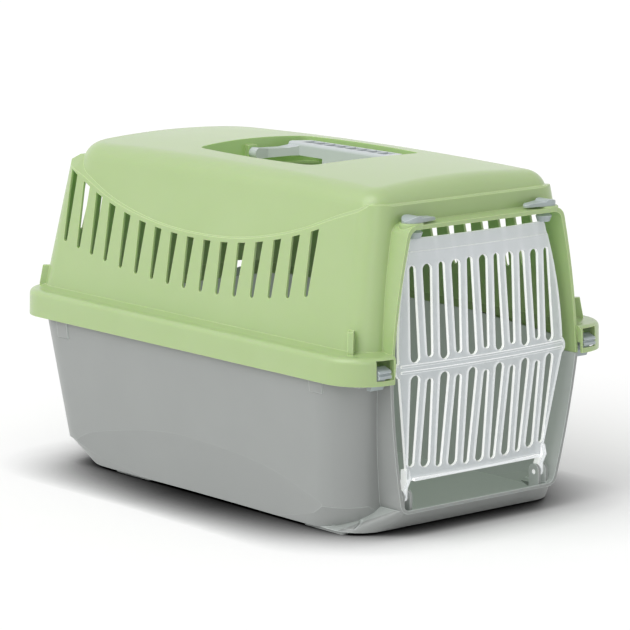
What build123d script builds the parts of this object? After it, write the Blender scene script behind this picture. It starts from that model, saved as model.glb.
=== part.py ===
from build123d import *
import math
import os

# A small pet carrier in two halves: a grey tray below and a green top shell above, with a
# slotted door at the front, two turning latches over it, four corner clips and a folding handle.
# Millimetres. The floor is z = 0, the door faces -Y, +X is the carrier's right-hand side.

# Overall sizes
FLANGE_HALF_WIDTH = 141.0
FLANGE_HALF_LENGTH = 227.5
FLANGE_BOTTOM = 128.5
FLANGE_TOP = 150.6
FLANGE_CORNER = 36.0
FLANGE_DRAFT = 0.3
WALL = 2.2

# Upper wall of the top shell, which carries the slots, measured at the flange
WALL_BASE_Z = 150.0
WALL_HALF_WIDTH = 121.0
WALL_FRONT = -210.7
WALL_BACK = 222.0
WALL_SIDE_LEAN = 0.185
WALL_FRONT_LEAN = 0.082
WALL_BACK_LEAN = 0.1
WALL_CORNER_FOOT = 22.0
WALL_CORNER_FRONT_TOP = 21.0
WALL_CORNER_BACK_TOP = 25.0

# Wave line between the slotted wall and the dome
WAVE_LOW_Y = 5.0
WAVE_LOW_Z = 218.8
WAVE_FRONT_Z = 263.3
WAVE_BACK_Z = 253.5
SHOULDER_SLOPE = 0.8

# Dome
DOME_SIDE_Z = 218.0
DOME_HALF_WIDTH = 107.5
DOME_SIDE_LEAN = 0.235
DOME_FRONT = -199.0
DOME_BACK = 205.0
DOME_END_LEAN = 0.12
DOME_CORNER_FRONT = 21.0
DOME_CORNER_BACK = 34.0
ROOF_TOP = 283.0
ROOF_CROWN_RADIUS = 828.0
ROOF_LENGTH_RADIUS = 5400.0
ROOF_EDGE_RADIUS = 19.0

# Handle recess and handle
RECESS_Y = -3.0
RECESS_CORNER_X = 59.0
RECESS_CORNER_Y = 73.0
RECESS_SIDE = 64.5
RECESS_END = 79.5
RECESS_ROUND = 10.0
RECESS_FLOOR = 259.5
HANDLE_PIVOT_X = 0.0
HANDLE_PIVOT_Z = 271.0
PIVOT_BLOCK_TOP = 277.4
HANDLE_HALF_SPAN = 74.0
HANDLE_ARM = 9.0
HANDLE_GRIP_NEAR = 33.0
HANDLE_GRIP_FAR = 54.0
HANDLE_PIN_RADIUS = 3.0
HANDLE_PIN_REACH = 84.0
POCKET_PITCH = 13.6
POCKET_HALF = 5.6

# Doorway
DOORWAY_TOP = 246.4
DOORWAY_TOP_CORNER = 8.0
RIM_THICKNESS = 2.6
LIP_TOP = 22.0
LEDGE_TOP = 249.8
BOSS_TOP = 251.2
BOSS_RADIUS = 9.8
RIM_CORNER = 10.0

# Tray
TRAY_TOP = 137.0
TRAY_HALF_WIDTH = 137.4
TRAY_HALF_LENGTH = 208.6
TRAY_SIDE_LEAN = 0.123
TRAY_END_LEAN = 0.16
TRAY_CORNER = 36.0
TRAY_BEND_Z = 20.0
TRAY_FLOOR = 2.5
SIDE_PAD = 1.0
FLOOR_THICKNESS = 2.6

# Door
DOOR_THICKNESS = 2.6
DOOR_BOW_RADIUS = 740.0
DOOR_BEND_Z = 133.0
DOOR_PITCH = 14.5
DOOR_TOP = 238.0
DOOR_STEP_Z = 227.8
HINGE_Y = -206.0
HINGE_Z = 31.0
HINGE_PIN_RADIUS = 2.0

# Latches
LATCH_X = 69.5
LATCH_Y = -213.0
LATCH_PIN_RADIUS = 3.5

# Corner clips
CLIP_X = 110.5
CLIP_WIDTH = 12.6

# Clearances
TURN_GAP = 0.05
SEAT_GAP = 0.05
SIDE_GAP = 0.4


def plan(half_width, front, back, corner, z, back_corner=None):
    """A rounded rectangle lying flat at height z, from front to back."""
    middle = (front + back) / 2
    shape = Rectangle(2 * half_width, back - front)
    ends = shape.vertices().sort_by(Axis.Y)
    shape = fillet(ends[:2], corner)
    ends = shape.vertices().sort_by(Axis.Y)
    shape = fillet(ends[-2:], back_corner or corner)
    return Pos(0, middle, z) * shape


def box(x0, x1, y0, y1, z0, z1):
    return Pos((x0 + x1) / 2, (y0 + y1) / 2, (z0 + z1) / 2) * Box(x1 - x0, y1 - y0, z1 - z0)


def rod(radius, start, end):
    """A round bar between two points."""
    start = Vector(*start)
    end = Vector(*end)
    along = end - start
    return extrude(Plane(start, z_dir=along) * Circle(radius), along.length)


def both_sides(shape):
    return shape + mirror(shape, about=Plane.YZ)


def wave_height(y):
    """Height of the crease between slotted wall and dome, along the carrier."""
    run = y - WAVE_LOW_Y
    if run > 0:
        return WAVE_LOW_Z + 1.909e-4 * run**2.33
    return WAVE_LOW_Z + 0.0012 * run**2


def wall_half_width(z):
    return WALL_HALF_WIDTH - (z - WALL_BASE_Z) * WALL_SIDE_LEAN


def wall_solid(inset, z0, z1):
    sections = []
    for z in (z0, z1):
        rise = z - WALL_BASE_Z
        sections.append(
            plan(
                wall_half_width(z) - inset,
                WALL_FRONT + rise * WALL_FRONT_LEAN + inset,
                WALL_BACK - rise * WALL_BACK_LEAN - inset,
                WALL_CORNER_FOOT + (WALL_CORNER_FRONT_TOP - WALL_CORNER_FOOT) * rise / 114 - inset,
                z,
                WALL_CORNER_FOOT + (WALL_CORNER_BACK_TOP - WALL_CORNER_FOOT) * rise / 114 - inset,
            )
        )
    return loft(sections, ruled=True)


def shoulder(crest, drop):
    """What lies above the sloping shoulder of the left side, whose crest is a list of (y, z)."""
    reach = 135.0

    def sketch_height(z):
        return z - drop - SHOULDER_SLOPE * (reach - wall_half_width(z))

    points = [(y, sketch_height(z)) for y, z in crest]
    front = points[0][1]
    back = points[-1][1]
    with BuildSketch(Plane.YZ.offset(-reach)) as side:
        with BuildLine():
            wave = Spline(*points)
            Polyline(wave @ 1, (260, back), (260, 420), (-260, 420), (-260, front), wave @ 0)
        make_face()
    cutter = extrude(side.sketch, reach + 40, dir=(1, 0, SHOULDER_SLOPE))
    return cutter & box(-reach, 0, -260, 260, 100, 420)


def above_wave(drop):
    """Everything above the shoulder. The right side's wave is the left side's turned about."""
    left = [(-206, WAVE_FRONT_Z), (-194, 262.0), (-180, 257.6)]
    left += [(y, wave_height(y)) for y in (-160, -125, -90, -50, 5, 60, 105, 150, 178)]
    left += [(190, WAVE_BACK_Z)]
    right = [(-206, WAVE_FRONT_Z), (-196, 258.2)]
    right += [(y, wave_height(-y)) for y in (-178, -150, -105, -60, -5, 50, 90, 125, 158)]
    right += [(172, WAVE_BACK_Z)]
    cutter = shoulder(left, drop) + mirror(shoulder(right, drop), about=Plane.YZ)
    front_y = WALL_FRONT + (WAVE_FRONT_Z - WALL_BASE_Z) * WALL_FRONT_LEAN
    back_y = WALL_BACK - (WAVE_BACK_Z - WALL_BASE_Z) * WALL_BACK_LEAN
    for edge_y, edge_z, into in ((front_y, WAVE_FRONT_Z, 1), (back_y, WAVE_BACK_Z, -1)):
        start = (edge_y - into * 30, edge_z - drop - 30 * SHOULDER_SLOPE)
        finish = (edge_y + into * 60, edge_z - drop + 60 * SHOULDER_SLOPE)
        wedge = Polygon(start, finish, (finish[0], 420), (start[0], 420), align=None)
        cutter += extrude(Plane.YZ * wedge, 140, both=True)
    return cutter


def dome_solid(inset, z0):
    sections = []
    for z in (z0, 300.0):
        rise = z - DOME_SIDE_Z
        sections.append(
            plan(
                DOME_HALF_WIDTH - rise * DOME_SIDE_LEAN - inset,
                DOME_FRONT + (z - WAVE_FRONT_Z) * DOME_END_LEAN + inset,
                DOME_BACK - (z - WAVE_BACK_Z) * DOME_END_LEAN - inset,
                DOME_CORNER_FRONT - inset,
                z,
                DOME_CORNER_BACK - inset,
            )
        )
    dome = loft(sections, ruled=True)
    top = ROOF_TOP - inset
    with BuildSketch(Plane.YZ) as side:
        with BuildLine():
            end = 260.0
            drop = ROOF_LENGTH_RADIUS - math.sqrt(ROOF_LENGTH_RADIUS**2 - end**2)
            arc = ThreePointArc((-end, top - drop), (0, top), (end, top - drop))
            axis = top - ROOF_CROWN_RADIUS
            Polyline(arc @ 1, (end, axis), (-end, axis), arc @ 0)
        make_face()
    crown = revolve(side.sketch, Axis((0, 0, top - ROOF_CROWN_RADIUS), (0, 1, 0)), 360)
    dome = dome & crown
    rim = dome.edges().filter_by_position(Axis.Z, ROOF_TOP - 12, ROOF_TOP + 1)
    return fillet(rim, ROOF_EDGE_RADIUS - inset)


def slot_row(lift):
    """The vents of the left side, wide at the top and round at the foot."""
    centres = [-135.0 + 22.0 * i for i in range(13)] + [149.0, 168.5, 188.0]
    cutters = Part()
    for y in centres:
        run = y - WAVE_LOW_Y
        foot = 173.4 + lift + (0.00055 if run > 0 else 0.00066) * run**2
        top = 4.8
        low = 2.4
        with BuildSketch(Plane.YZ) as slot:
            with BuildLine():
                Polyline(
                    (y - low, foot + low),
                    (y - top, wave_height(y - top) - 3.4),
                    (y + top, wave_height(y + top) - 3.4),
                    (y + low, foot + low),
                )
                ThreePointArc((y + low, foot + low), (y, foot), (y - low, foot + low))
            make_face()
        cutters += extrude(slot.sketch, -135)
    return cutters


def side_slots():
    """Both rows of vents: the right side's is the left side's turned about, its feet higher."""
    return slot_row(0) + Pos(0, 2.5, 0) * Rot(0, 0, 180) * slot_row(4.5)


def back_slots():
    """Two vents each side of the rear wall, leaning in with the side walls."""
    cutters = Part()
    for x, lean in ((76.0, 0.17), (55.5, 0.14)):
        with BuildSketch(Plane.XZ.offset(-190)) as slot:
            with BuildLine():
                foot = 196.0
                top = 238.0
                shift = (top - foot) * lean
                Polyline(
                    (x - 2.3, foot + 2.3),
                    (x - 4.4 - shift, top),
                    (x + 4.4 - shift, top),
                    (x + 2.3, foot + 2.3),
                )
                ThreePointArc((x + 2.3, foot + 2.3), (x, foot), (x - 2.3, foot + 2.3))
            make_face()
        cutters += extrude(slot.sketch, -40)
    return both_sides(cutters)


def shell_doorway(spread, top, corner):
    """Outline of the upper doorway in the XZ plane, widened by spread."""
    with BuildSketch(Plane.XZ) as outline:
        with BuildLine():
            right = ThreePointArc(
                (98.6 + spread, FLANGE_BOTTOM), (92.0 + spread, 190), (79.8 + spread, top)
            )
            Line(right @ 1, (-79.8 - spread, top))
            left = ThreePointArc(
                (-79.8 - spread, top), (-92.0 - spread, 190), (-98.6 - spread, FLANGE_BOTTOM)
            )
            Line(left @ 1, right @ 0)
        make_face()
        fillet(outline.vertices().filter_by_position(Axis.Y, top - 1, top + 1), corner)
    return outline.sketch


def flange_solid(inset, z0, z1):
    sections = []
    for z in (z0, z1):
        spread = FLANGE_DRAFT * (FLANGE_TOP - z) / (FLANGE_TOP - FLANGE_BOTTOM)
        narrow = FLANGE_DRAFT - spread + inset
        sections.append(
            plan(
                FLANGE_HALF_WIDTH - narrow,
                -FLANGE_HALF_LENGTH + narrow,
                FLANGE_HALF_LENGTH - narrow,
                FLANGE_CORNER - inset,
                z,
            )
        )
    return loft(sections, ruled=True)


def recess_solid(spread, z0, z1):
    """The hollow for the handle: four bowed sides meeting at small rounded corners."""
    sections = []
    for z in (z0, z1):
        grow = spread + (z - RECESS_FLOOR) * 0.06 - 1.2
        corner_x = RECESS_CORNER_X + grow
        corner_y = RECESS_CORNER_Y + grow
        side = RECESS_SIDE + grow
        end = RECESS_END + grow
        with BuildSketch(Plane.XY.offset(z)) as outline:
            with BuildLine():
                ThreePointArc((corner_x, -corner_y), (side, 0), (corner_x, corner_y))
                ThreePointArc((corner_x, corner_y), (0, end), (-corner_x, corner_y))
                ThreePointArc((-corner_x, corner_y), (-side, 0), (-corner_x, -corner_y))
                ThreePointArc((-corner_x, -corner_y), (0, -end), (corner_x, -corner_y))
            make_face()
            fillet(outline.vertices(), RECESS_ROUND + spread)
        sections.append(Pos(0, RECESS_Y, 0) * outline.sketch)
    return loft(sections, ruled=True)


def corner_gussets():
    """Thin webs that tie the foot of the wall to the flange at each corner."""
    web = Polygon((0, 149), (16, 149), (16, 153), (13, 168.5), (0, 168.5), align=None)
    plates = Part()
    for x, y, turn in ((114.5, -191.5, -45), (108, 206, 45)):
        plate = extrude(Plane.XZ * web, 2.3, both=True)
        plates += Pos(x, y, 0) * Rot(0, 0, turn) * plate
    return both_sides(plates)


def make_top_shell():
    flange = flange_solid(0, FLANGE_BOTTOM, FLANGE_TOP)
    flange = fillet(flange.faces().sort_by(Axis.Z)[-1].edges(), 4.5)
    rise = loft([plan(133, -220, 221, 29, FLANGE_TOP - 0.4), plan(118, -208, 220.5, 17, 152.4)],
                ruled=True)
    wall = wall_solid(0, 147, 264.5) - above_wave(0)
    dome = dome_solid(0, 210)
    outside = flange + rise + (wall + dome)

    # The rim that stands proud round the doorway, and the ledge on top of it
    outside -= extrude(shell_doorway(RIM_THICKNESS, LEDGE_TOP, RIM_CORNER), 232) & box(
        -110, 110, -232, -195, 120, 260
    )
    rim = extrude(shell_doorway(RIM_THICKNESS, LEDGE_TOP, RIM_CORNER), 222.2)
    rim = rim & box(-110, 110, -230, -185, FLANGE_BOTTOM, LEDGE_TOP)
    outside += rim

    skirt_space = flange_solid(WALL, FLANGE_BOTTOM - 1, TRAY_TOP + SEAT_GAP)
    seat_space = flange_solid(2.9 + WALL, TRAY_TOP - 1, FLANGE_TOP - WALL)
    wall_space = wall_solid(WALL, 140, 262.3) - above_wave(2.6)
    dome_space = dome_solid(WALL, 205)
    inside = skirt_space + seat_space + (wall_space + dome_space)
    keep_rim = extrude(shell_doorway(RIM_THICKNESS, LEDGE_TOP, RIM_CORNER), 222.2)
    keep_rim = keep_rim & box(-110, 110, -230, -197, FLANGE_BOTTOM, LEDGE_TOP)
    inside = inside - keep_rim
    shell = outside - inside

    pan = recess_solid(WALL, RECESS_FLOOR - WALL, 284) & dome_solid(0.6, 210)
    for end in (-1, 1):
        y = RECESS_Y + end * (HANDLE_PIN_REACH - 2)
        pan += rod(5.4, (HANDLE_PIVOT_X, y - 4, HANDLE_PIVOT_Z), (HANDLE_PIVOT_X, y + 4, HANDLE_PIVOT_Z))
    shell += pan
    shell -= recess_solid(0, RECESS_FLOOR, 290)
    for end in (-1, 1):
        y0, y1 = sorted(RECESS_Y + end * y for y in (HANDLE_HALF_SPAN + SIDE_GAP, HANDLE_PIN_REACH - 2))
        shell += box(-4.6, 4.6, y0, y1, RECESS_FLOOR - 1, PIVOT_BLOCK_TOP)
    bore_reach = HANDLE_PIN_REACH + SIDE_GAP
    shell -= rod(
        HANDLE_PIN_RADIUS + TURN_GAP,
        (HANDLE_PIVOT_X, RECESS_Y - bore_reach, HANDLE_PIVOT_Z),
        (HANDLE_PIVOT_X, RECESS_Y + bore_reach, HANDLE_PIVOT_Z),
    )

    doorway = extrude(shell_doorway(0, DOORWAY_TOP, DOORWAY_TOP_CORNER), 240)
    shell -= doorway & box(-110, 110, -240, -180, 120, 260)
    shell -= side_slots()
    shell -= back_slots()
    for side in (-1, 1):
        boss = rod(
            BOSS_RADIUS,
            (side * (LATCH_X + 3), LATCH_Y, DOORWAY_TOP),
            (side * (LATCH_X + 3), LATCH_Y, BOSS_TOP),
        )
        shell += fillet(boss.faces().sort_by(Axis.Z)[-1].edges(), 1.2)
        shell -= rod(
            LATCH_PIN_RADIUS + TURN_GAP,
            (side * LATCH_X, LATCH_Y, DOORWAY_TOP - 3),
            (side * LATCH_X, LATCH_Y, BOSS_TOP + 1),
        )
    window = box(CLIP_X - 8.6, CLIP_X + 7.4, -232, -215, 132.4, 148.4)
    window = both_sides(window)
    window += mirror(window, about=Plane.XZ)
    shell -= window
    shell += corner_gussets() - inside
    return shell


def tray_half_width(z):
    foot = TRAY_HALF_WIDTH - (TRAY_TOP - TRAY_BEND_Z) * TRAY_SIDE_LEAN
    if z >= TRAY_BEND_Z:
        return foot + (z - TRAY_BEND_Z) * TRAY_SIDE_LEAN
    return foot - (TRAY_BEND_Z - z) * 0.34


def tray_half_length(z):
    foot = TRAY_HALF_LENGTH - (TRAY_TOP - TRAY_BEND_Z) * TRAY_END_LEAN
    if z >= TRAY_BEND_Z:
        return foot + (z - TRAY_BEND_Z) * TRAY_END_LEAN
    return foot - (TRAY_BEND_Z - z) * 0.2


def tray_solid(inset, levels):
    sections = []
    for z in levels:
        corner = TRAY_CORNER - (TRAY_TOP - z) * 0.06 - inset
        half_length = tray_half_length(z) - inset
        sections.append(plan(tray_half_width(z) - inset, -half_length, half_length, corner, z))
    return loft(sections, ruled=True)


def scoop(inset):
    """What is taken off below the arched crease on each long side."""
    reach = 142.0 - inset
    fall = 3.3
    crease = (
        (-200, 14), (-176, 22.8), (-145, 33.3), (-107, 44), (-68, 49.4), (-28, 52),
        (20, 52.7), (65, 48), (115, 38.9), (150, 29.5), (176, 15),
    )
    points = [(y, z + fall * (reach + inset - tray_half_width(max(z, TRAY_BEND_Z)))) for y, z in crease]
    with BuildSketch(Plane.YZ.offset(-reach)) as under:
        with BuildLine():
            arch = Spline(*points)
            Polyline(arch @ 1, (176, -60), (-200, -60), arch @ 0)
        make_face()
    cutter = extrude(under.sketch, 190, dir=(1, 0, -fall))
    return both_sides(cutter)


def foot_rounding(inset):
    """What is taken off round the foot of each corner, below the bend in the wall."""
    low = plan(112.6 - inset, -186 + inset, 186 - inset, 52 - inset, TRAY_FLOOR - 0.5)
    high = plan(124 - inset, -191 + inset, 191 - inset, 34 - inset, 24)
    return box(-150, 150, -230, 230, TRAY_FLOOR - 0.5, 24) - loft([low, high], ruled=True)


def tray_doorway(spread, top):
    """Outline of the lower doorway in the XZ plane, widened by spread."""
    with BuildSketch(Plane.XZ) as outline:
        with BuildLine():
            right = ThreePointArc(
                (80.5 + spread, LIP_TOP - spread), (91.2 + spread, 72), (98.8 + spread, top)
            )
            Line(right @ 1, (-98.8 - spread, top))
            left = ThreePointArc(
                (-98.8 - spread, top), (-91.2 - spread, 72), (-80.5 - spread, LIP_TOP - spread)
            )
            Line(left @ 1, right @ 0)
        make_face()
        low = outline.vertices().filter_by_position(Axis.Y, 0, LIP_TOP + 1)
        fillet(low, 7.0 + spread)
    return outline.sketch


def chin(inset):
    """The front foot of the tray, leaning out from the floor to the lip."""
    top = plan(83 - inset, -216.2 + inset, -130, 9 - inset, LIP_TOP, 9)
    low_z = TRAY_FLOOR + (FLOOR_THICKNESS if inset else 0)
    ease = (FLOOR_THICKNESS * 1.2) if inset else 0
    low = plan(111 - inset, -192.5 + inset - ease, -130, 27 - inset, low_z, 9)
    return loft([top, low], ruled=True)


def hinge_ears():
    """Two pairs of round-topped ears that hold the door's pins."""
    with BuildSketch(Plane.YZ) as side:
        with BuildLine():
            Polyline((-211.7, HINGE_Z), (-211.7, 19.4), (-200.3, 11.0), (-200.3, HINGE_Z))
            ThreePointArc((-200.3, HINGE_Z), (HINGE_Y, HINGE_Z + 6.6), (-211.7, HINGE_Z))
        make_face()
    ears = Part()
    for x in (68.6, 76.4):
        ears += Pos(x, 0, 0) * extrude(side.sketch, 2.6)
    ears = both_sides(ears)
    reach = 85
    return ears - rod(HINGE_PIN_RADIUS + TURN_GAP, (-reach, HINGE_Y, HINGE_Z), (reach, HINGE_Y, HINGE_Z))


def make_base_tray():
    outside = tray_solid(0, (TRAY_FLOOR, TRAY_BEND_Z, TRAY_TOP)) - scoop(0) - foot_rounding(0)
    outside += chin(0)
    collar = extrude(tray_doorway(RIM_THICKNESS, 129.8), 232) & box(-110, 110, -232, -186, 10, 129.8)
    front_face = Polygon((-150, 0), (-214.9, 0), (-222.9, 140), (-150, 140), align=None)
    outside += collar & extrude(Plane.YZ * front_face, 120, both=True)

    pads = Part()
    for y, low in ((162.3, 114), (-172.8, 118.5)):
        pad = box(128, 150, y - 7, y + 7, low, 136)
        pads += pad & tray_solid(-SIDE_PAD, (TRAY_BEND_Z, TRAY_TOP))
    outside += both_sides(pads)

    inside = tray_solid(WALL, (TRAY_FLOOR + FLOOR_THICKNESS, TRAY_BEND_Z, TRAY_TOP + 1))
    inside = inside - scoop(WALL + 0.2) - foot_rounding(WALL + 0.2)
    inside += chin(WALL + 0.2)
    inside += extrude(tray_doorway(0, 135), 240) & box(-110, 110, -240, -180, 10, 135)
    tray = outside - inside
    # The rim runs level and then dips towards the doorway
    dip = Polygon((-60, TRAY_TOP), (-188, 128.3), (-240, 128.3), (-240, 150), (-60, 150), align=None)
    tray -= extrude(Plane.YZ * dip, 150, both=True)
    # Lugs on the rim for the corner clips to stand on
    lugs = Part()
    for end in (-1, 1):
        y0, y1 = sorted((end * 196, end * 212))
        lugs += box(CLIP_X - 8, CLIP_X + 14, y0, y1, 126, 131)
    tray += both_sides(lugs) - inside
    tray += hinge_ears()

    feet = Part()
    for y in (-150.0, 101.0):
        feet += box(101, 109, y - 24, y + 24, 0, TRAY_FLOOR + 1)
    feet = fillet(feet.edges().filter_by(Axis.Z), 3.5)
    return tray + both_sides(feet)


def door_slab(front, back):
    """The door's curved sheet, bowed across and bent at the middle rib."""
    def strip():
        with BuildSketch(Plane.XY.offset(DOOR_BEND_Z)) as section:
            with BuildLine():
                outer = ThreePointArc((-96, front + 6.23), (0, front), (96, front + 6.23))
                inner = ThreePointArc((96, back + 6.23), (0, back), (-96, back + 6.23))
                Line(outer @ 1, inner @ 0)
                Line(inner @ 1, outer @ 0)
            make_face()
        return section.sketch

    low = extrude(strip(), 94, dir=(0, 0.1056, -1))
    high = extrude(strip(), 110, dir=(0, 0.072, 1))
    return low + high


def door_outline():
    with BuildSketch(Plane.XZ) as outline:
        with BuildLine():
            Polyline((0, 44.5), (70, 44.5), (73.7, 48), (88, 131))
            ThreePointArc((88, 131), (84.5, 187), (73.6, 231))
            Polyline((73.6, 231), (72.4, 236.2), (70.4, DOOR_TOP), (0, DOOR_TOP))
            Line((0, DOOR_TOP), (0, 44.5))
        make_face()
    # Round bulges at the ends of the middle rib
    half = outline.sketch + Plane.XZ * Pos(84, 135.6) * Circle(7.4)
    return half + mirror(half, about=Plane.YZ)


def door_slot(x_top, x_foot, z_foot, z_top, wide_top):
    """A slot with round ends, wider at one end than at the other."""
    top = 4.6 if wide_top else 3.0
    foot = 3.0 if wide_top else 4.6
    with BuildSketch(Plane.XZ) as slot:
        with BuildLine():
            Line((x_foot + foot, z_foot + foot), (x_top + top, z_top - top))
            ThreePointArc((x_top + top, z_top - top), (x_top, z_top), (x_top - top, z_top - top))
            Line((x_top - top, z_top - top), (x_foot - foot, z_foot + foot))
            ThreePointArc((x_foot - foot, z_foot + foot), (x_foot, z_foot), (x_foot + foot, z_foot + foot))
        make_face()
    return extrude(slot.sketch, 240)


def make_door():
    front = -222.0 - DOOR_THICKNESS / 2
    back = -222.0 + DOOR_THICKNESS / 2
    sheet = door_slab(front, back) & extrude(door_outline(), 240)
    for i in range(-5, 6):
        odd = i % 2 == 1
        x = i * DOOR_PITCH
        share = abs(i) / 5
        sheet -= door_slot(x * 0.99, x, 140.8 if odd else 144.0, 219 - 2 * share, not odd)
        sheet -= door_slot(x, x * (1 - 0.03 * share), 51 + 5 * share**2, 131 if odd else 127, odd)

    # The band along the top stands back a little from the face
    sheet -= door_slab(front - 2, front + 0.6) & box(-90, 90, -235, -190, DOOR_STEP_Z, 250)

    ridges = Part()
    for z in (133.4, 138.2):
        ridges += box(-87, 87, -230, -205, z, z + 1.7)
    sheet += door_slab(front - 1.5, front + 0.5) & ridges
    # A return along the foot
    foot = box(-68, 68, -214.0, -207.0, 44.5, 46.7)
    door = sheet + foot

    with BuildSketch(Plane.YZ) as side:
        with BuildLine():
            Polyline((-202.6, HINGE_Z), (-202.6, 38), (-206, 46), (-206, 54), (-211.5, 54), (-213.4, 46))
            Polyline((-213.4, 46), (-209.4, 38), (-209.4, HINGE_Z))
            ThreePointArc((-209.4, HINGE_Z), (HINGE_Y, HINGE_Z - 3.4), (-202.6, HINGE_Z))
        make_face()
    arm = Pos(71.6, 0, 0) * extrude(side.sketch, 4.4)
    arm += rod(HINGE_PIN_RADIUS, (68.8, HINGE_Y, HINGE_Z), (78.8, HINGE_Y, HINGE_Z))
    door += both_sides(arm)
    return door


def make_latch(side):
    """A turning lever on its boss, thick outside the pin, with a tapered cam below the ledge."""
    z0 = BOSS_TOP + SEAT_GAP
    cam_foot = DOOR_TOP + SIDE_GAP
    with BuildSketch(Plane.XY.offset(z0)) as lever:
        with BuildLine():
            Line((-18.6, -3.4), (0, -7.2))
            ThreePointArc((0, -7.2), (10.4, 0), (0, 7.2))
            Line((0, 7.2), (-18.6, 3.4))
            ThreePointArc((-18.6, 3.4), (-21.2, 0), (-18.6, -3.4))
        make_face()
    with BuildSketch(Plane.XZ) as rise:
        with BuildLine():
            Polyline((-22, z0), (-22, z0 + 1.4), (-17, z0 + 2.9), (-3, z0 + 3.5), (-1.8, z0 + 4.8))
            ThreePointArc((-1.8, z0 + 4.8), (3.4, z0 + 5.1), (8.4, z0 + 3.2))
            Polyline((8.4, z0 + 3.2), (11, z0 + 1.2), (11, z0), (-22, z0))
        make_face()
    body = extrude(lever.sketch, 7) & extrude(rise.sketch, 10, both=True)
    body += rod(LATCH_PIN_RADIUS, (0, 0, 244.5), (0, 0, z0 + 1))
    with BuildSketch(Plane.XZ) as profile:
        Polygon((0, cam_foot), (5.2, cam_foot), (7.0, 243.2), (4.4, 245.6), (0, 245.6), align=None)
    cam = revolve(profile.sketch, Axis.Z, 360)
    body += cam & box(-10, 10, -10, 2.2, 230, 250)
    if side < 0:
        body = mirror(body, about=Plane.YZ)
    return Pos(side * LATCH_X, LATCH_Y, 0) * body


def make_clip(side, end):
    """A springy hook that stands on a tray lug and shows in the flange window."""
    with BuildSketch(Plane.YZ) as profile:
        with BuildLine():
            Polyline(
                (-212.1, 123.5),
                (-212.1, 131.2),
                (-216.5, 136.0),
                (-216.5, 142.6),
                (-219.4, 142.6),
                (-225.6, 140.2),
                (-227.0, 138.6),
                (-225.2, 137.2),
                (-227.0, 135.8),
                (-226.6, 133.8),
                (-219.2, 133.0),
                (-219.2, 129.0),
                (-216.6, 123.5),
                (-212.1, 123.5),
            )
        make_face()
    # The hook is the same from both sides, so a half turn carries it to the rear corners
    across = side if end < 0 else -side
    clip = Pos(across * CLIP_X - CLIP_WIDTH / 2, 0, 0) * extrude(profile.sketch, CLIP_WIDTH)
    return Rot(0, 0, 180) * clip if end > 0 else clip


def make_handle():
    """The carrying bail, folded down to the right in its recess."""
    span = HANDLE_HALF_SPAN
    with BuildSketch(Plane.XY.offset(HANDLE_PIVOT_Z)) as above:
        with BuildLine():
            outer = ((-6, span), (9, span), (46, span - 11), (HANDLE_GRIP_FAR, span - 18))
            inner = ((HANDLE_GRIP_NEAR, span - 22), (9, span - HANDLE_ARM), (-6, span - HANDLE_ARM))
            Polyline((HANDLE_GRIP_FAR, 0), *reversed(outer), *reversed(inner), (HANDLE_GRIP_NEAR, 0))
            Line((HANDLE_GRIP_NEAR, 0), (HANDLE_GRIP_FAR, 0))
        make_face()
        mirror(about=Plane.XZ)
    plate = extrude(above.sketch, 20, both=True)
    with BuildSketch(Plane.XZ) as side:
        with BuildLine():
            Polyline((8, 266.4), (26, 267.8), (30.4, 266), (HANDLE_GRIP_NEAR, 262.4), (46, 261.8))
            ThreePointArc((46, 261.8), (51.8, 263.6), (HANDLE_GRIP_FAR, 269))
            Polyline((HANDLE_GRIP_FAR, 269), (HANDLE_GRIP_FAR, 276.2), (52.4, 278.6), (36.4, 279))
            ThreePointArc((36.4, 279), (34, 278.2), (HANDLE_GRIP_NEAR, 276))
            Polyline((HANDLE_GRIP_NEAR, 276), (24, 274.6), (8, 274.6), (0, 275.6))
            ThreePointArc((0, 275.6), (-4.6, 271), (0, 266.4))
            Line((0, 266.4), (8, 266.4))
        make_face()
    body = plate & extrude(side.sketch, 90, both=True)
    pockets = Part()
    for i in range(8):
        y = POCKET_PITCH * (i - 3.5)
        pockets += box(36.6, 50.8, y - POCKET_HALF, y + POCKET_HALF, 271.0, 285)
    body -= pockets
    # The grip is deepest in the middle, where the fingers go
    for end in (-1, 1):
        y0, y1 = sorted((end * 22, end * 90))
        body -= box(26, 60, y0, y1, 255, 267.8)
    body += rod(HANDLE_PIN_RADIUS, (HANDLE_PIVOT_X, -HANDLE_PIN_REACH, HANDLE_PIVOT_Z),
                (HANDLE_PIVOT_X, -span + 4, HANDLE_PIVOT_Z))
    body += rod(HANDLE_PIN_RADIUS, (HANDLE_PIVOT_X, span - 4, HANDLE_PIVOT_Z),
                (HANDLE_PIVOT_X, HANDLE_PIN_REACH, HANDLE_PIVOT_Z))
    return Pos(0, RECESS_Y, 0) * body


def main():
    pieces = {
        "base_tray": make_base_tray(),
        "top_shell": make_top_shell(),
        "door": make_door(),
        "handle": make_handle(),
        "door_latch_left": make_latch(-1),
        "door_latch_right": make_latch(1),
        "corner_clip_front_left": make_clip(-1, -1),
        "corner_clip_front_right": make_clip(1, -1),
        "corner_clip_rear_left": make_clip(-1, 1),
        "corner_clip_rear_right": make_clip(1, 1),
    }
    os.makedirs("parts", exist_ok=True)
    for name, shape in pieces.items():
        print(name, len(shape.solids()), round(shape.volume), shape.is_valid)
        export_step(shape, f"parts/{name}.step")


main()
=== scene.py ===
# %% [markdown]
# A small pet carrier, dressed for its portrait.
# The real one is a handful of plastic mouldings: a green top with vents, a grey tray, a milky
# see-through door, a carrying handle, two door latches and four corner clips.
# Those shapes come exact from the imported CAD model, bar one small slit that a later cell closes.
# So this lesson loads them as they are. It spends its effort on what a CAD model lacks: light,
# a camera, and the skin of each plastic.

# %% Load the carrier
import math

import bmesh
import bpy
from mathutils import Matrix, Vector


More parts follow.
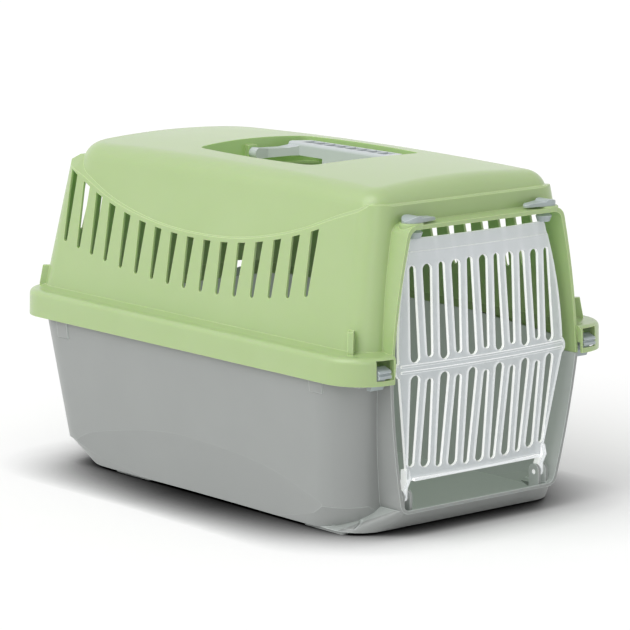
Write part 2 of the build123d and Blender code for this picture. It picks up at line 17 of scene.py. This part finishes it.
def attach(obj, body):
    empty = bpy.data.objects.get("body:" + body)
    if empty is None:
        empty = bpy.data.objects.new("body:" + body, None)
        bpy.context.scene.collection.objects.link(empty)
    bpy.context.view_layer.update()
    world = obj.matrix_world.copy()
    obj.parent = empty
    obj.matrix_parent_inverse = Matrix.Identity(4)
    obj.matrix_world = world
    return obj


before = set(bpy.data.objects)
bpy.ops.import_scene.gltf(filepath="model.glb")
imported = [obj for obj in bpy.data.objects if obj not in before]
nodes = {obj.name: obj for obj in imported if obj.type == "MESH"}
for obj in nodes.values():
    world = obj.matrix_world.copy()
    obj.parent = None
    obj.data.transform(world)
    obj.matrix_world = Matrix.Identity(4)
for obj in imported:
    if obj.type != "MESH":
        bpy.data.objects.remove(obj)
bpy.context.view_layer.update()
print("pieces:", sorted(nodes))

# %% [markdown]
# The camera stands where the product photographer stood: in front of the door's corner, a little
# above the roof, far away with a long lens. The long lens keeps the roof line and the tray's rim
# almost parallel. Its place is written as a direction and a distance, because those are what a
# photographer would change.

# %% Place the camera
CAMERA_TURN = math.radians(40.067)
CAMERA_DROP = math.radians(10.236)
CAMERA_DISTANCE = 2.92876
AIM_HEIGHT = 0.140
AIM_RIGHT = 0.00696
AIM_UP = 0.00022
SENSOR = 36.0
LENS = 198.84

look = Vector((
    math.sin(CAMERA_TURN) * math.cos(CAMERA_DROP),
    math.cos(CAMERA_TURN) * math.cos(CAMERA_DROP),
    -math.sin(CAMERA_DROP),
))
right = Vector((math.cos(CAMERA_TURN), -math.sin(CAMERA_TURN), 0.0))
up = right.cross(look)
camera_data = bpy.data.cameras.new("camera")
camera_data.lens = LENS
camera_data.sensor_width = SENSOR
camera = bpy.data.objects.new("camera", camera_data)
camera.matrix_world = Matrix((
    (right.x, up.x, -look.x, 0.0),
    (right.y, up.y, -look.y, 0.0),
    (right.z, up.z, -look.z, 0.0),
    (0.0, 0.0, 0.0, 1.0),
))
aim = Vector((0, 0, AIM_HEIGHT)) + right * AIM_RIGHT + up * AIM_UP
camera.location = aim - look * CAMERA_DISTANCE
bpy.context.scene.collection.objects.link(camera)
bpy.context.scene.camera = camera
bpy.context.scene.view_settings.view_transform = "Standard"
print("camera at", [round(v, 3) for v in camera.location])

# %% [markdown]
# Plastic shows its form through long soft gradients, so the light is plain and wide.
# Area lamps would do it, but they fall off across a floor this large and leave a grey vignette.
# A sun lamp with a very wide disc is just as soft and lights everything at the same level.
# The key comes from the carrier's long side, so that side is bright and the door's end turns away
# into a softer tone. A small fill stands near the camera and draws the bright upright streak on
# each rounded corner. The world does the rest, and a colour renders about as it is written.

# %% Light the studio
WORLD_LEVEL = 0.62
KEY_LEVEL = 1.6
KEY_FROM = Vector((-0.95, 0.1, 1.05))
KEY_SOFTNESS = math.radians(55)
FILL_LEVEL = 0.2
FILL_FROM = Vector((-0.64, -0.77, 0.4))
FILL_SOFTNESS = math.radians(24)


def add_sun(name, source, level, softness):
    """A soft sun that shines from the given side."""
    lamp = bpy.data.lights.new(name, "SUN")
    lamp.energy = level
    lamp.angle = softness
    holder = bpy.data.objects.new(name, lamp)
    holder.rotation_euler = (-source).to_track_quat("-Z", "Y").to_euler()
    holder.location = source
    bpy.context.scene.collection.objects.link(holder)
    return holder


add_sun("key", KEY_FROM, KEY_LEVEL, KEY_SOFTNESS)
add_sun("fill", FILL_FROM, FILL_LEVEL, FILL_SOFTNESS)

# %% [markdown]
# The background of the picture is pure white. The world is white only to the eye: camera, mirror
# and see-through rays read it at full strength. The light it throws on the carrier stays lower.

# %% Make the world white to the eye
WHITE = (1.0, 1.0, 1.0, 1.0)

world = bpy.data.worlds.new("studio")
bpy.context.scene.world = world
world.use_nodes = True
sky = world.node_tree.nodes["Background"]
sky.inputs["Color"].default_value = WHITE


def feed(tree, socket, value):
    """Give a socket a plain value, or link it to the output of another node."""
    if isinstance(value, bpy.types.NodeSocket):
        tree.links.new(value, socket)
    else:
        socket.default_value = value


def math_node(tree, kind, *values):
    """A Math node whose inputs are numbers or the outputs of other nodes."""
    made = tree.nodes.new("ShaderNodeMath")
    made.operation = kind
    for socket, value in zip(made.inputs, values):
        feed(tree, socket, value)
    return made.outputs[0]


world_tree = world.node_tree
path = world_tree.nodes.new("ShaderNodeLightPath")
seen = math_node(world_tree, "MAXIMUM", path.outputs["Is Camera Ray"], path.outputs["Is Glossy Ray"])
seen = math_node(world_tree, "MAXIMUM", seen, path.outputs["Is Transmission Ray"])
lift = math_node(world_tree, "MULTIPLY", seen, 1.0 - WORLD_LEVEL)
level = math_node(world_tree, "ADD", lift, WORLD_LEVEL)
world_tree.links.new(level, sky.inputs["Strength"])
print("world gives", WORLD_LEVEL, "and shows white")

# %% [markdown]
# A pale floor catches the contact shadow that makes the carrier stand on something.
# One large square is enough, because the light is even right out to its edge.
# Light this soft leaves hardly any shadow, yet the eye wants a dark seam where plastic meets floor.
# An Ambient Occlusion node measures how boxed in each point of the floor is. A power deepens it.
# In the photo the seam is deep along the long sides and softer at the two ends, so the power
# follows the distance from the carrier's middle. Only the camera sees the seam. For every other
# ray the floor stays white and keeps bouncing light upward.

# %% Lay the floor
FLOOR_REACH = 20.0
FLOOR_PAINT = 0.93
SHADOW_REACH = 0.07
SIDE_DEPTH = 4.2
END_DEPTH = 1.0
END_FROM = 0.03
END_TO = 0.22
SEAM_SAMPLES = 16
FLOOR_GLOW = 0.09


def colour(red, green, blue):
    """A colour picked on a 0 to 255 scale, as the linear value that a shader expects."""
    def linear(part):
        share = part / 255.0
        return share / 12.92 if share <= 0.04045 else ((share + 0.055) / 1.055) ** 2.4
    return (linear(red), linear(green), linear(blue), 1.0)


def ramp(tree, value, low, high, start=0.0, finish=1.0):
    """A Map Range node: it runs from start to finish while the value runs from low to high."""
    made = tree.nodes.new("ShaderNodeMapRange")
    labels = ("Value", "From Min", "From Max", "To Min", "To Max")
    for label, given in zip(labels, (value, low, high, start, finish)):
        feed(tree, made.inputs[label], given)
    return made.outputs["Result"]


floor_mesh = bpy.data.meshes.new("floor")
FLOOR_CORNERS = ((-1, -1), (1, -1), (1, 1), (-1, 1))
corners = [(x * FLOOR_REACH, y * FLOOR_REACH, 0.0) for x, y in FLOOR_CORNERS]
floor_mesh.from_pydata(corners, [], [(0, 1, 2, 3)])
floor = bpy.data.objects.new("floor", floor_mesh)
bpy.context.scene.collection.objects.link(floor)
floor_paint = bpy.data.materials.new("floor paint")
floor_paint.use_nodes = True
floor_tree = floor_paint.node_tree
matt = floor_tree.nodes["Principled BSDF"]
matt.inputs["Roughness"].default_value = 1.0
matt.inputs["Specular IOR Level"].default_value = 0.0
seam = floor_tree.nodes.new("ShaderNodeAmbientOcclusion")
seam.samples = SEAM_SAMPLES
seam.inputs["Distance"].default_value = SHADOW_REACH
floor_place = floor_tree.nodes.new("ShaderNodeTexCoord")
spot = floor_tree.nodes.new("ShaderNodeSeparateXYZ")
floor_tree.links.new(floor_place.outputs["Object"], spot.inputs["Vector"])
from_the_middle = math_node(floor_tree, "ABSOLUTE", spot.outputs["Y"])
depth = ramp(floor_tree, from_the_middle, END_FROM, END_TO, SIDE_DEPTH, END_DEPTH)
openness = math_node(floor_tree, "POWER", seam.outputs["AO"], depth)
eye = floor_tree.nodes.new("ShaderNodeLightPath").outputs["Is Camera Ray"]
shut = math_node(floor_tree, "MULTIPLY", eye, math_node(floor_tree, "SUBTRACT", 1.0, openness))
left_open = math_node(floor_tree, "SUBTRACT", 1.0, shut)
paint = math_node(floor_tree, "MULTIPLY", left_open, FLOOR_PAINT)
floor_tree.links.new(paint, matt.inputs["Base Color"])
matt.inputs["Emission Color"].default_value = WHITE
open_to_eye = math_node(floor_tree, "MULTIPLY", eye, openness)
glow = math_node(floor_tree, "MULTIPLY", open_to_eye, FLOOR_GLOW)
floor_tree.links.new(glow, matt.inputs["Emission Strength"])
floor_mesh.materials.append(floor_paint)
print("floor:", 2 * FLOOR_REACH, "metres square")

# %% [markdown]
# CAD surfaces arrive as flat triangles. The mouldings are smooth, with crisp breaks only at real
# corners, so every face is shaded smooth except across edges sharper than about thirty degrees.
# This changes only how light reads the surface. No point of the mesh moves.

# %% Shade the mouldings smooth
SHARP_ANGLE = math.radians(32)

for name, piece in sorted(nodes.items()):
    mesh = piece.data
    mesh.polygons.foreach_set("use_smooth", [True] * len(mesh.polygons))
    mesh.set_sharp_from_angle(angle=SHARP_ANGLE)
    print(name, "has", len(mesh.polygons), "faces and", len(mesh.vertices), "points")

# %% [markdown]
# Every piece here came out of a steel mould, so all of them share one skin: a very fine grain,
# broad soft patches where the plastic cooled at different speeds, and edges rounded by less than a
# millimetre. One node group holds that skin, and each plastic calls it with its own numbers.
# The Bevel node rounds the edges for the light alone. A bevel modifier would need clean quads,
# which a CAD mesh doesn't have.

# %% Build the moulded skin
GRAIN_DETAIL = 2.0
PATCH_DETAIL = 3.0
PATCH_LOW = 0.15
PATCH_HIGH = 0.85
PIT_STRENGTH = 0.35
SKIN_SAMPLES = 6


def new_group(name, inputs, outputs):
    """An empty node group with named float, colour or vector sockets."""
    group = bpy.data.node_groups.new(name, "ShaderNodeTree")
    for label, kind, start in inputs:
        socket = group.interface.new_socket(label, in_out="INPUT", socket_type=kind)
        socket.default_value = start
    for label, kind in outputs:
        group.interface.new_socket(label, in_out="OUTPUT", socket_type=kind)
    return group, group.nodes.new("NodeGroupInput"), group.nodes.new("NodeGroupOutput")


FLOAT = "NodeSocketFloat"
VECTOR = "NodeSocketVector"
skin, skin_in, skin_out = new_group(
    "moulded skin",
    [
        ("Grain Scale", FLOAT, 1400.0),
        ("Grain Depth", FLOAT, 0.00005),
        ("Patch Scale", FLOAT, 14.0),
        ("Smoothest", FLOAT, 0.35),
        ("Roughest", FLOAT, 0.5),
        ("Edge Radius", FLOAT, 0.0005),
    ],
    [("Roughness", FLOAT), ("Patches", FLOAT), ("Normal", VECTOR)],
)
place = skin.nodes.new("ShaderNodeTexCoord")
grain = skin.nodes.new("ShaderNodeTexNoise")
grain.inputs["Detail"].default_value = GRAIN_DETAIL
skin.links.new(place.outputs["Object"], grain.inputs["Vector"])
skin.links.new(skin_in.outputs["Grain Scale"], grain.inputs["Scale"])
patches = skin.nodes.new("ShaderNodeTexNoise")
patches.inputs["Detail"].default_value = PATCH_DETAIL
skin.links.new(place.outputs["Object"], patches.inputs["Vector"])
skin.links.new(skin_in.outputs["Patch Scale"], patches.inputs["Scale"])
dullness = ramp(
    skin, patches.outputs["Fac"], PATCH_LOW, PATCH_HIGH,
    skin_in.outputs["Smoothest"], skin_in.outputs["Roughest"],
)
edges = skin.nodes.new("ShaderNodeBevel")
edges.samples = SKIN_SAMPLES
skin.links.new(skin_in.outputs["Edge Radius"], edges.inputs["Radius"])
pits = skin.nodes.new("ShaderNodeBump")
pits.inputs["Strength"].default_value = PIT_STRENGTH
skin.links.new(skin_in.outputs["Grain Depth"], pits.inputs["Distance"])
skin.links.new(grain.outputs["Fac"], pits.inputs["Height"])
skin.links.new(edges.outputs["Normal"], pits.inputs["Normal"])
skin.links.new(dullness, skin_out.inputs["Roughness"])
skin.links.new(patches.outputs["Fac"], skin_out.inputs["Patches"])
skin.links.new(pits.outputs["Normal"], skin_out.inputs["Normal"])
print("moulded skin:", len(skin.nodes), "nodes")

# %% [markdown]
# Light travels a millimetre or two inside polypropylene, so a thin edge glows paler than the wall
# behind it, and a small rounded edge catches a thin highlight. Neither is traced here: a paler
# colour is painted along every edge. On the top, the tray, the handle and the fittings it is a
# painted highlight. On the door it is painted light through the plastic, the fine white lines round
# every
# slot. A mask of the edges gives it: where a rounded normal and the true one disagree, there is an
# edge.

# %% Build the edge mask
MASK_SAMPLES = 8

edge_glow, glow_in, glow_out = new_group(
    "edge mask",
    [("Edge Radius", FLOAT, 0.001), ("Gain", FLOAT, 6.0)],
    [("Edge", FLOAT)],
)
rounded = edge_glow.nodes.new("ShaderNodeBevel")
rounded.samples = MASK_SAMPLES
edge_glow.links.new(glow_in.outputs["Edge Radius"], rounded.inputs["Radius"])
surface = edge_glow.nodes.new("ShaderNodeNewGeometry")
agree = edge_glow.nodes.new("ShaderNodeVectorMath")
agree.operation = "DOT_PRODUCT"
edge_glow.links.new(rounded.outputs["Normal"], agree.inputs[0])
edge_glow.links.new(surface.outputs["Normal"], agree.inputs[1])
differ = math_node(edge_glow, "SUBTRACT", 1.0, agree.outputs["Value"])
gained = math_node(edge_glow, "MULTIPLY", differ, glow_in.outputs["Gain"])
held = math_node(edge_glow, "MINIMUM", gained, 1.0)
edge_glow.links.new(held, glow_out.inputs["Edge"])
print("edge mask:", len(edge_glow.nodes), "nodes")

# %% [markdown]
# Thin coloured plastic lets daylight in, so the inside of the real carrier is far from black: green
# under the roof, grey down in the tray. Following light through the walls would take minutes.
# Instead each inner wall gives back a little light of its own. A point is on an inner wall when its
# normal looks toward the middle of the cabin, which a dot product tells. A height ramp lets the
# roof glow more than the low walls.

# %% Build the mask of the inner walls
CABIN_MIDDLE = (0.0, 0.0, 0.14)
LOOKS_IN = -0.02

inner_walls, walls_in, walls_out = new_group(
    "inner walls",
    [("Low", FLOAT, -1.0), ("High", FLOAT, 0.0)],
    [("Inside", FLOAT)],
)
where = inner_walls.nodes.new("ShaderNodeTexCoord")
from_middle = inner_walls.nodes.new("ShaderNodeVectorMath")
from_middle.operation = "SUBTRACT"
from_middle.inputs[1].default_value = CABIN_MIDDLE
inner_walls.links.new(where.outputs["Object"], from_middle.inputs[0])
outward = inner_walls.nodes.new("ShaderNodeVectorMath")
outward.operation = "DOT_PRODUCT"
inner_walls.links.new(from_middle.outputs["Vector"], outward.inputs[0])
inner_walls.links.new(where.outputs["Normal"], outward.inputs[1])
looks_in = math_node(inner_walls, "LESS_THAN", outward.outputs["Value"], LOOKS_IN)
level_of = inner_walls.nodes.new("ShaderNodeSeparateXYZ")
inner_walls.links.new(where.outputs["Object"], level_of.inputs["Vector"])
rise = ramp(inner_walls, level_of.outputs["Z"], walls_in.outputs["Low"], walls_in.outputs["High"])
inside = math_node(inner_walls, "MULTIPLY", looks_in, rise)
inner_walls.links.new(inside, walls_out.inputs["Inside"])
print("inner walls:", len(inner_walls.nodes), "nodes")

# %% [markdown]
# A finish is then a short recipe: a body colour, a second one for the patches, an edge colour for
# the painted highlight along the edges, and the skin's numbers. The Principled shader stays in each
# material, where its sockets can be read.

# %% Write the recipe for a plastic
BLACK = (0.0, 0.0, 0.0, 1.0)


def mixed(tree, factor, start, finish):
    """A colour between two others. Each is a colour or the output of another node."""
    mix = tree.nodes.new("ShaderNodeMix")
    mix.data_type = "RGBA"
    feed(tree, mix.inputs["Factor"], factor)
    feed(tree, mix.inputs["A"], start)
    feed(tree, mix.inputs["B"], finish)
    return mix.outputs["Result"]


def placed(tree, group, values):
    """A node group put into a material with the material's own numbers."""
    node = tree.nodes.new("ShaderNodeGroup")
    node.node_tree = group
    for label, value in values.items():
        node.inputs[label].default_value = value
    return node


def plastic(name, body, patch, edge, skin_values, edge_values, second_mask=None):
    """A moulded plastic: its skin, cloudy patches and a painted highlight of paler colour along its
    edges, which a second mask can widen.
    """
    made = bpy.data.materials.new(name)
    made.use_nodes = True
    tree = made.node_tree
    shader = tree.nodes["Principled BSDF"]
    skin_node = placed(tree, skin, skin_values)
    painted_edge_light = placed(tree, edge_glow, edge_values).outputs["Edge"]
    if second_mask:
        painted_edge_light = math_node(tree, "MAXIMUM", placed(tree, second_mask, {}).outputs[0], painted_edge_light)
    clouds = mixed(tree, skin_node.outputs["Patches"], body, patch)
    tree.links.new(mixed(tree, painted_edge_light, clouds, edge), shader.inputs["Base Color"])
    tree.links.new(skin_node.outputs["Roughness"], shader.inputs["Roughness"])
    tree.links.new(skin_node.outputs["Normal"], shader.inputs["Normal"])
    return made, shader, painted_edge_light


def glow_inside(material, shader, glow_colour, strength, height_values):
    """Let the inner walls of a shell give back some coloured light."""
    tree = material.node_tree
    inside_node = placed(tree, inner_walls, height_values)
    given = mixed(tree, inside_node.outputs["Inside"], BLACK, glow_colour)
    tree.links.new(given, shader.inputs["Emission Color"])
    shader.inputs["Emission Strength"].default_value = strength


def let_light_in(shader, weight, radius, scale):
    """Let light travel a little way under the surface."""
    shader.inputs["Subsurface Weight"].default_value = weight
    shader.inputs["Subsurface Radius"].default_value = radius
    shader.inputs["Subsurface Scale"].default_value = scale


# %% [markdown]
# The top is a soft yellow-green. It is thin enough to let some light through, so the inside that
# shows in the vents is a stronger green than the outside. The glow of the inner walls gives that.
# A little subsurface scattering softens the outside, and a coat adds the faint shine of new plastic.

# %% Mix the green of the top
# The paler edge colour is a painted highlight along the top's creases, rims and vents.
green, green_shader, _ = plastic(
    "leaf green plastic",
    body=colour(160, 184, 124),
    patch=colour(168, 190, 135),
    edge=colour(196, 216, 156),
    skin_values={"Smoothest": 0.33, "Roughest": 0.43, "Grain Scale": 1500.0, "Edge Radius": 0.0008},
    edge_values={"Edge Radius": 0.0006, "Gain": 60.0},
)
glow_inside(green, green_shader, colour(84, 150, 32), 0.2, {"Low": 0.17, "High": 0.25})
let_light_in(green_shader, weight=0.25, radius=(0.6, 1.0, 0.25), scale=0.003)
green_shader.inputs["Coat Weight"].default_value = 0.5
green_shader.inputs["Coat Roughness"].default_value = 0.25

# %% [markdown]
# The tray is a plain neutral grey. Its paler edge colour is a painted highlight along its edges and
# creases, and its inner walls glow grey at every height, painted light for the daylight that comes
# through the thin plastic. The latches and clips are a cooler, paler grey, and the handle is the
# palest, each with a faint painted highlight on its edges. Each is a finish of its own, so each can
# be changed alone.

# %% Mix the grey of the tray
grey, grey_shader, _ = plastic(
    "dove grey plastic",
    body=colour(147, 150, 148),
    patch=colour(155, 158, 156),
    edge=colour(190, 196, 193),
    skin_values={"Smoothest": 0.26, "Roughest": 0.36, "Grain Scale": 1700.0, "Edge Radius": 0.0008},
    edge_values={"Edge Radius": 0.0006, "Gain": 90.0},
)
# Painted light: the inner walls of the tray glow a pale grey.
glow_inside(grey, grey_shader, colour(158, 168, 162), 0.3, {})
let_light_in(grey_shader, weight=0.15, radius=(0.9, 1.0, 1.0), scale=0.003)

# %% Mix the grey of the latches and clips
fitting, _, _ = plastic(
    "cool grey fittings",
    body=colour(160, 171, 172),
    patch=colour(170, 180, 181),
    edge=colour(222, 230, 231),
    skin_values={"Smoothest": 0.24, "Roughest": 0.36, "Grain Scale": 1900.0, "Edge Radius": 0.0005},
    edge_values={"Edge Radius": 0.0007, "Gain": 6.0},
)

# %% Mix the paler grey of the handle
grip_grey, _, _ = plastic(
    "pale grey handle",
    body=colour(190, 196, 199),
    patch=colour(197, 203, 205),
    edge=colour(228, 235, 236),
    skin_values={"Smoothest": 0.24, "Roughest": 0.36, "Grain Scale": 1900.0, "Edge Radius": 0.0005},
    edge_values={"Edge Radius": 0.0007, "Gain": 6.0},
)

# %% [markdown]
# The door is natural polypropylene, milky rather than clear. The tray's rim shows through it,
# veiled. Real glass refraction would be slow and too clean. A partly open alpha on a pale body
# reads as milk. Two masks close it again. One is the edge mask. The other finds every wall that
# runs across the thickness, such as the sides of the slots: looking into such a wall the eye meets
# far more plastic, so it turns white. The piece's own normal tells them apart, since a sheet faces
# front or back.

# %% Build the mask of the cut sides
FACES_FRONT = 0.8
FACES_ACROSS = 0.4

cut_sides, _, sides_out = new_group("cut sides", [], [("Side", FLOAT)])
facing = cut_sides.nodes.new("ShaderNodeTexCoord")
parts = cut_sides.nodes.new("ShaderNodeSeparateXYZ")
cut_sides.links.new(facing.outputs["Normal"], parts.inputs["Vector"])
forward = math_node(cut_sides, "ABSOLUTE", parts.outputs["Y"])
turned = ramp(cut_sides, forward, FACES_FRONT, FACES_ACROSS)
cut_sides.links.new(turned, sides_out.inputs["Side"])
print("cut sides:", len(cut_sides.nodes), "nodes")

# %% [markdown]
# The door is milkier in the band along its top than in the sheet below. The height of a point in
# the door's own space gives that slow change, and it stays right when the door opens.
# The cut sides also give a little light of their own, which draws the white line round each slot.

# %% Mix the milky door
SHEET_ALPHA = 0.54
BAND_ALPHA = 0.8
BAND_FOOT = 0.185
BAND_HEAD = 0.222
EDGE_ALPHA = 0.97
CUT_GLOW = 0.35

milky, milky_shader, solid = plastic(
    "milky door plastic",
    body=colour(222, 227, 231),
    patch=colour(231, 235, 238),
    edge=colour(250, 251, 251),
    skin_values={"Smoothest": 0.16, "Roughest": 0.26, "Grain Depth": 0.00002, "Edge Radius": 0.0005},
    edge_values={"Edge Radius": 0.0009, "Gain": 5.0},
    second_mask=cut_sides,
)
milk = milky.node_tree
cut_mask = placed(milk, cut_sides, {}).outputs["Side"]
milk.links.new(mixed(milk, cut_mask, BLACK, WHITE), milky_shader.inputs["Emission Color"])
milky_shader.inputs["Emission Strength"].default_value = CUT_GLOW
door_place = milk.nodes.new("ShaderNodeTexCoord")
height = milk.nodes.new("ShaderNodeSeparateXYZ")
milk.links.new(door_place.outputs["Object"], height.inputs["Vector"])
veil = ramp(milk, height.outputs["Z"], BAND_FOOT, BAND_HEAD, SHEET_ALPHA, BAND_ALPHA)
missing = math_node(milk, "SUBTRACT", EDGE_ALPHA, veil)
closed = math_node(milk, "ADD", veil, math_node(milk, "MULTIPLY", missing, solid))
milk.links.new(closed, milky_shader.inputs["Alpha"])
print("milky door plastic:", len(milk.nodes), "nodes")

# %% Give each piece its plastic
FINISH = {"top_shell": green, "base_tray": grey, "door": milky, "handle": grip_grey}

for name, piece in sorted(nodes.items()):
    chosen = FINISH.get(name, fitting)
    piece.data.materials.clear()
    piece.data.materials.append(chosen)
    print(name, "->", chosen.name)

# %% [markdown]
# One thing isn't complete in the CAD model. Low down at the tray's front corners, where the chin
# that leans out under the door meets the tray's side, the wall has a slit. Two small curved webs
# close it. Each follows the chin's own outline, which narrows and slides forward as it rises, so it
# lies flush. Its outer skin sits a hair behind the chin's, and it is a closed form a little over a
# millimetre thick.

# %% Close the tray's front corners
CHIN_FOOT = {"z": 0.0025, "half_width": 0.111, "front": 0.1925, "corner": 0.027}
CHIN_LIP = {"z": 0.022, "half_width": 0.083, "front": 0.2162, "corner": 0.009}
WEB_HEIGHTS = (0.0042, 0.0085, 0.0128)
WEB_BACK = 0.162
WEB_SET_BACK = 0.0001
WEB_THICKNESS = 0.0012
WEB_STEPS = 10


def chin_outline(z, inset):
    """Points of the chin's plan at a height, from its right side round the corner."""
    share = (z - CHIN_FOOT["z"]) / (CHIN_LIP["z"] - CHIN_FOOT["z"])
    size = {}
    for key, foot in CHIN_FOOT.items():
        size[key] = foot + (CHIN_LIP[key] - foot) * share
    centre_x = size["half_width"] - size["corner"]
    centre_y = -size["front"] + size["corner"]
    radius = size["corner"] - inset
    outline = [(centre_x + radius, -WEB_BACK)]
    for step in range(WEB_STEPS + 1):
        turn = math.pi / 2 * step / WEB_STEPS
        outline.append((centre_x + radius * math.cos(turn), centre_y - radius * math.sin(turn)))
    return outline


def corner_web(side):
    """A thin curved wall round the chin's corner. Side is -1 for the left, 1 for the right."""
    points = []
    for inset in (WEB_SET_BACK, WEB_SET_BACK + WEB_THICKNESS):
        for z in WEB_HEIGHTS:
            points += [(side * x, y, z) for x, y in chin_outline(z, inset)]
    across = WEB_STEPS + 2
    rings = len(WEB_HEIGHTS)
    skin_size = across * rings
    faces = []
    for ring in range(rings - 1):
        for i in range(across - 1):
            a = ring * across + i
            outer = (a, a + 1, a + across + 1, a + across)
            faces.append(outer)
            faces.append(tuple(skin_size + corner for corner in reversed(outer)))
    for i in range(across - 1):
        for start in (0, (rings - 1) * across):
            a = start + i
            faces.append((a, a + 1, skin_size + a + 1, skin_size + a))
    for i in (0, across - 1):
        for ring in range(rings - 1):
            a = ring * across + i
            faces.append((a, a + across, skin_size + a + across, skin_size + a))
    web_mesh = bpy.data.meshes.new("tray_corner_web")
    web_mesh.from_pydata(points, [], faces)
    shape = bmesh.new()
    shape.from_mesh(web_mesh)
    bmesh.ops.recalc_face_normals(shape, faces=shape.faces)
    shape.to_mesh(web_mesh)
    shape.free()
    web_mesh.polygons.foreach_set("use_smooth", [True] * len(web_mesh.polygons))
    web_mesh.set_sharp_from_angle(angle=SHARP_ANGLE)
    web_mesh.materials.append(grey)
    return web_mesh


for label, side in (("left", -1), ("right", 1)):
    web = bpy.data.objects.new("tray_corner_web_" + label, corner_web(side))
    bpy.context.scene.collection.objects.link(web)
    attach(web, "carrier")
    print(web.name, "has", len(web.data.polygons), "faces")
